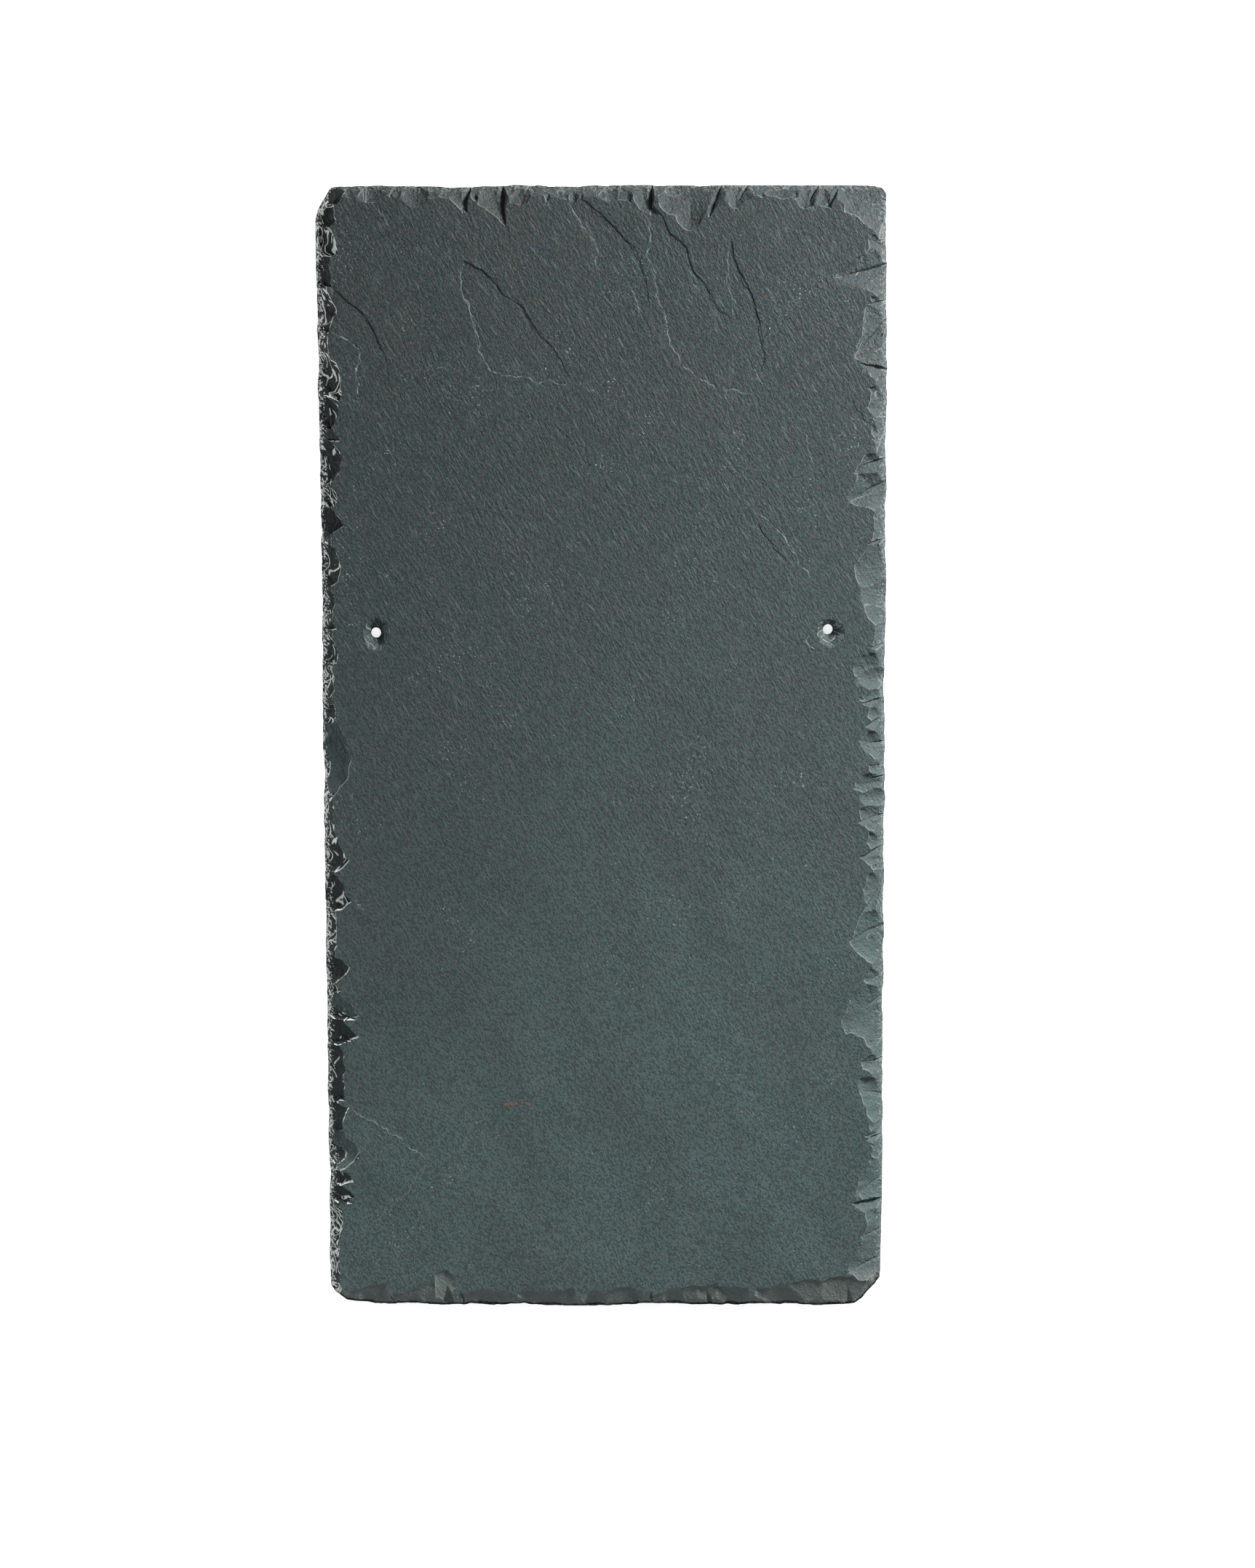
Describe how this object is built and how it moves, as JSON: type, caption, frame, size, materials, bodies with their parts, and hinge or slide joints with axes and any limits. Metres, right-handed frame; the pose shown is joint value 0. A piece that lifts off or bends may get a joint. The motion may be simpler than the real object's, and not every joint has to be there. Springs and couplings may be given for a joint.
{
  "type": "slate roof tile",
  "caption": "Rectangular roofing slate with flaked, bevelled edges on its exposed face and a pair of punched nail holes with broken-out craters.",
  "frame": {"origin": "middle of the slate's footprint, on its flat back", "axes": "+Z out of the dressed (exposed) face, +Y towards the head of the slate, where its upper edge goes up the roof, +X to the right as seen looking at the exposed face"},
  "size_m": [0.2518, 0.5016, 0.0065],
  "materials": {
    "slate": "riven, matt to satin blue-grey slate"
  },
  "bodies": {
    "root": {"slate": "slate"}
  },
  "joints": []
}
